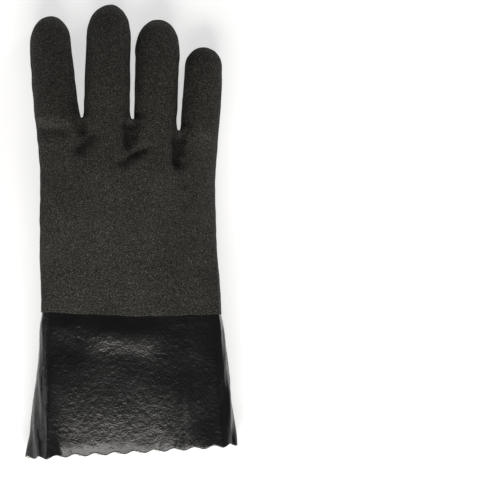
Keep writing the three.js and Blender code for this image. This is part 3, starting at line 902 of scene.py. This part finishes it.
def hem_places():
    """For each point round the hem, the corner before it and the share of the way to the next."""
    line, corners = cuff_line(0)
    lengths = running_lengths(smooth_line(line))
    ends = [k * PARTS for k in corners] + [AROUND]
    corner = np.searchsorted(ends, np.arange(AROUND), side="right") - 1
    low, high = lengths[np.take(ends, corner)], lengths[np.take(ends, corner + 1)]
    return corner, (lengths[:-1] - low) / (high - low)


def corner_values(field):
    """A value of HEM_CORNERS for each point round the hem."""
    corner, share = hem_places()
    values = np.array([getattr(row, field) for row in HEM_CORNERS + HEM_CORNERS[:1]])
    return lerp(values[corner], values[corner + 1], share)


def hem_outline():
    """The hem's closed line, scalloped and higher on the little finger's side."""
    x = (corner_values("x") + HEM_SHIFT) * HALF_HEM
    z = corner_values("z") * HEM_HEIGHT
    line = np.stack([x, 0 * x, z], axis=1)
    lengths = running_lengths(line)
    pitch = lengths[-1] / round(lengths[-1] / SCALLOP_PITCH)
    rise = HEM_RISE * np.clip((x / HALF_HEM + 1) / 2, 0, 1) ** RISE_POWER
    line[:, 1] = rise + SCALLOP_DEPTH / 2 * (1 - np.cos(2 * np.pi * lengths[:-1] / pitch))
    return line


def rounded_corners(line):
    """Rounds the creases of a closed line in x and z, and leaves its scallops."""
    line = line.copy()
    for _ in range(CORNER_ROUNDS):
        mean = (np.roll(line, 1, axis=0) + np.roll(line, -1, axis=0)) / 2
        line[:, 0::2] = (line[:, 0::2] + mean[:, 0::2]) / 2
    return line


def cuff_ring(share):
    """A ring of the cuff, at a share of the way from the coat's edge to the hem."""
    settled = smoothstep(share * CUFF_LENGTH, 0, SETTLE_LENGTH)
    edge = smooth_line(inset_outline(0, EDGE_STEP * (1 - settled)))
    hem = hem_outline()
    flare = share ** corner_values("flare")
    x = lerp(edge[:, 0], hem[:, 0], flare)
    y = lerp(edge[:, 1], hem[:, 1], share)
    z = lerp(edge[:, 2], hem[:, 2], flare)
    return rounded_corners(np.stack([x, y, np.maximum(z, 0)], axis=1))


def lap_ring(step):
    """A ring of the cuff under the lap."""
    return smooth_line(inset_outline(LAP_LENGTH - LAP_GAP - step, LIP_WALL + LAP_GAP))


def grid_faces(rows):
    """Quads between rows of AROUND points, facing out as the rows go down the cuff."""
    ids = np.arange(rows * AROUND).reshape(rows, AROUND)
    a, b = ids[:-1], ids[1:]
    quads = np.stack([b, np.roll(b, -1, axis=1), np.roll(a, -1, axis=1), a], axis=2)
    return quads.reshape(-1, 4)


# Soft forms of the cuff. Each has its height, and pairs that say where it lies: a middle and a
# width for hill, or where it starts and where it is whole for smoothstep.
TOP_FACE = (0.2, 0.8)
SIDE_FACE = (0.45, 0.85)
INBOARD_LEFT = (-54.0, -44.0)
INBOARD_RIGHT = (64.0, 56.0)
WAVE_HEIGHT = 2.0
WAVE_Y = (84.0, 11.0)
WAVE_LEFT = (-34.0, -14.0)
WAVE_RIGHT = (34.0, 12.0)
SAG_DEPTH = 5.5
SAG_LENGTH = 68.0
SAG_X = (-8.0, 46.0)
CURL_DEPTH = 1.2
CURL_LENGTH = 11.0
CURL_POWER = 1.5
RIDGE_HEIGHT = 1.3
RIDGE_X = (39.0, 4.6)
RIDGE_Y = (42.0, 22.0)
PLEAT_HEIGHT = 0.35
PLEAT_SIZE = (4, 18, 12)
PLEAT_Y = (34.0, 4.0)
FAN_SLOPE = 0.18
FOLD_HEIGHTS = (0.7, 1.7)  # near the hand and near the hem
FOLD_SIZE = (6, 42, 6)
FOLD_Y = (70.0, 10.0)
WRINKLE_HEIGHT = 0.7
WRINKLE_SIZE = (5, 14, 4)
SWELLS = ((0.5, (30, 34, 30), 5), (0.25, (12, 15, 12), 6))  # height, size and seed
GRAINS = ((0.07, 2.2, 11), (0.05, 1.5, 12))  # height, size and seed
FORM_START = 0.12  # share of the cuff's length over which its forms set in
GRAIN_START = 0.03  # and its grain
RIM_SWELL = 0.25  # how far the cut edge stands out past the hem


def cuff_form(points, normals):
    """How far each point of the cuff moves out for its wave, sag, curl, ridge, pleats and folds."""
    x, y = points[:, 0], points[:, 1]
    wave = WAVE_HEIGHT * hill(y, *WAVE_Y) * smoothstep(x, *WAVE_LEFT) * smoothstep(x, *WAVE_RIGHT)
    sag = -SAG_DEPTH * np.clip(1 - y / SAG_LENGTH, 0, 1) ** 2 * hill(x, *SAG_X, power=4)
    curl = -CURL_DEPTH * smoothstep(y, CURL_LENGTH, 0) ** CURL_POWER
    ridge = RIDGE_HEIGHT * hill(x, *RIDGE_X) * hill(y, *RIDGE_Y)
    pleats = PLEAT_HEIGHT * noise(points, PLEAT_SIZE, seed=14) * smoothstep(y, *PLEAT_Y)
    inboard = smoothstep(x, *INBOARD_LEFT) * smoothstep(x, *INBOARD_RIGHT)
    on_top = smoothstep(normals[:, 2], *TOP_FACE) * (wave + ridge + inboard * (sag + curl + pleats))
    fan = points + FAN_SLOPE * points[:, 1:2] * [0, 0, 1]
    folds = lerp(*FOLD_HEIGHTS, smoothstep(y, *FOLD_Y)) * noise(fan, FOLD_SIZE, seed=8)
    folds = folds + WRINKLE_HEIGHT * noise(fan, WRINKLE_SIZE, seed=17)
    on_sides = smoothstep(np.abs(normals[:, 0]), *SIDE_FACE) * folds
    return on_top + summed(points, SWELLS) + on_sides


def cuff_skins():
    """The cuff's outer and inner points, in rows from under the lap to the hem."""
    shares = np.linspace(0, 1, GRAIN_ROWS)
    outer = np.array([lap_ring(step) for step in LAP_STEPS] + [cuff_ring(s) for s in shares])
    rows = len(outer)
    points = outer.reshape(-1, 3)
    faces = grid_faces(rows)
    share = np.repeat(np.concatenate([[0] * len(LAP_STEPS), shares]), AROUND)
    normals = face_normals(points, faces)
    clear = 1 - smoothstep(-normals[:, 2], *TOP_FACE)
    form = cuff_form(points, normals) * smoothstep(share, 0.0, FORM_START) * clear
    points = points + normals * form[:, None]
    normals = face_normals(points, faces)
    wall = (points - normals * CUFF_WALL).reshape(outer.shape)
    inner = wall[np.unique(np.round(np.linspace(0, rows - 1, INNER_ROWS)).astype(int))]
    grain = summed(points, GRAINS) * smoothstep(share, 0.0, GRAIN_START) * clear
    return (points + normals * grain[:, None]).reshape(outer.shape), inner


def make_cuff():
    outer, inner = cuff_skins()
    rim = (outer[-1] + inner[-1]) / 2 - (0, RIM_SWELL, 0)
    rows = np.concatenate([outer, rim[None], inner[::-1]])
    first = np.arange(AROUND)
    last = first + (len(rows) - 1) * AROUND
    closing = np.stack([first, np.roll(first, -1), np.roll(last, -1), last], axis=1)
    faces = np.vstack([grid_faces(len(rows)), closing])
    coat_faces = len(outer) * AROUND
    slots = np.repeat([COAT_SLOT, LINER_SLOT], [coat_faces, len(faces) - coat_faces])
    piece = mesh_object("smooth_cuff", "smooth_coat", rows.reshape(-1, 3), faces, slots)
    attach(piece, "root")
    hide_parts("gauntlet_cuff")


SHIFT = origin_shift()
MATERIALS = {"rough_coat": rough_coat(), "smooth_coat": smooth_coat(), "knit_liner": knit_liner()}
make_hand()
make_cuff()


# The floor, the lights and the camera, in metres

FLOOR_HALF = 40.0
FLOOR_TONE = 0.60
FLOOR_GLOW = 0.60
WORLD_LIGHT = 0.13

# name, place, width and height, watts and colour
LIGHTS = [
    ("key", (0.0, -1.4, 1.12), (1.3, 0.8), 32, (1.0, 0.98, 0.95)),
    ("left", (-1.4, -0.1, 0.45), (0.9, 0.35), 2.5, (1, 1, 1)),
    ("rim", (1.0, 1.1, 0.8), (0.6, 0.5), 5, (1, 1, 1)),
]

CAMERA_HEIGHT = 2.5
CAMERA_SENSOR = 36  # millimetres, as the lens is
VIEW_HEIGHT = 0.020  # the glove's middle height, where the view is VIEW_WIDTH across
VIEW_WIDTH = 0.3363
VIEW_CENTRE = (0.08206, 0.14057)  # x and y, from the glove's own origin


def make_floor():
    half = FLOOR_HALF
    corners = [(-half, -half, 0), (half, -half, 0), (half, half, 0), (-half, half, 0)]
    mesh = new_mesh("floor", corners, [(0, 1, 2, 3)])
    s = Shader(
        "floor",
        Base_Color=(FLOOR_TONE, FLOOR_TONE, FLOOR_TONE, 1),
        Roughness=0.9,
        Specular_IOR_Level=0.1,
        Emission_Color=(1, 1, 1, 1),
        Emission_Strength=FLOOR_GLOW,
    )
    mesh.materials.append(s.material)
    floor = add_object("floor", mesh)


def add_light(name, place, size, power, colour):
    """A rectangular light that faces the middle of the floor."""
    light = bpy.data.lights.new(name, "AREA")
    light.shape = "RECTANGLE"
    light.size, light.size_y = size
    light.energy = power
    light.color = colour
    lamp = add_object(name, light)
    lamp.location = place
    ahead = Vector((0, 0, 0)) - Vector(place)
    lamp.rotation_euler = ahead.to_track_quat("-Z", "Y").to_euler()


def make_world():
    world = bpy.data.worlds.new("studio")
    bpy.context.scene.world = world
    world.use_nodes = True
    background = world.node_tree.nodes["Background"]
    background.inputs["Color"].default_value = (1, 1, 1, 1)
    background.inputs["Strength"].default_value = WORLD_LIGHT


def make_camera():
    """Looks straight down on the glove."""
    camera = bpy.data.cameras.new("camera")
    camera.sensor_width = CAMERA_SENSOR
    camera.lens = CAMERA_SENSOR * (CAMERA_HEIGHT - VIEW_HEIGHT) / VIEW_WIDTH
    view = add_object("camera", camera)
    x, y = (centre + shift * MM for centre, shift in zip(VIEW_CENTRE, SHIFT))
    view.location = (x, y, CAMERA_HEIGHT)
    bpy.context.scene.camera = view


make_floor()
for row in LIGHTS:
    add_light(*row)
make_world()
bpy.context.scene.view_settings.view_transform = "Standard"
make_camera()
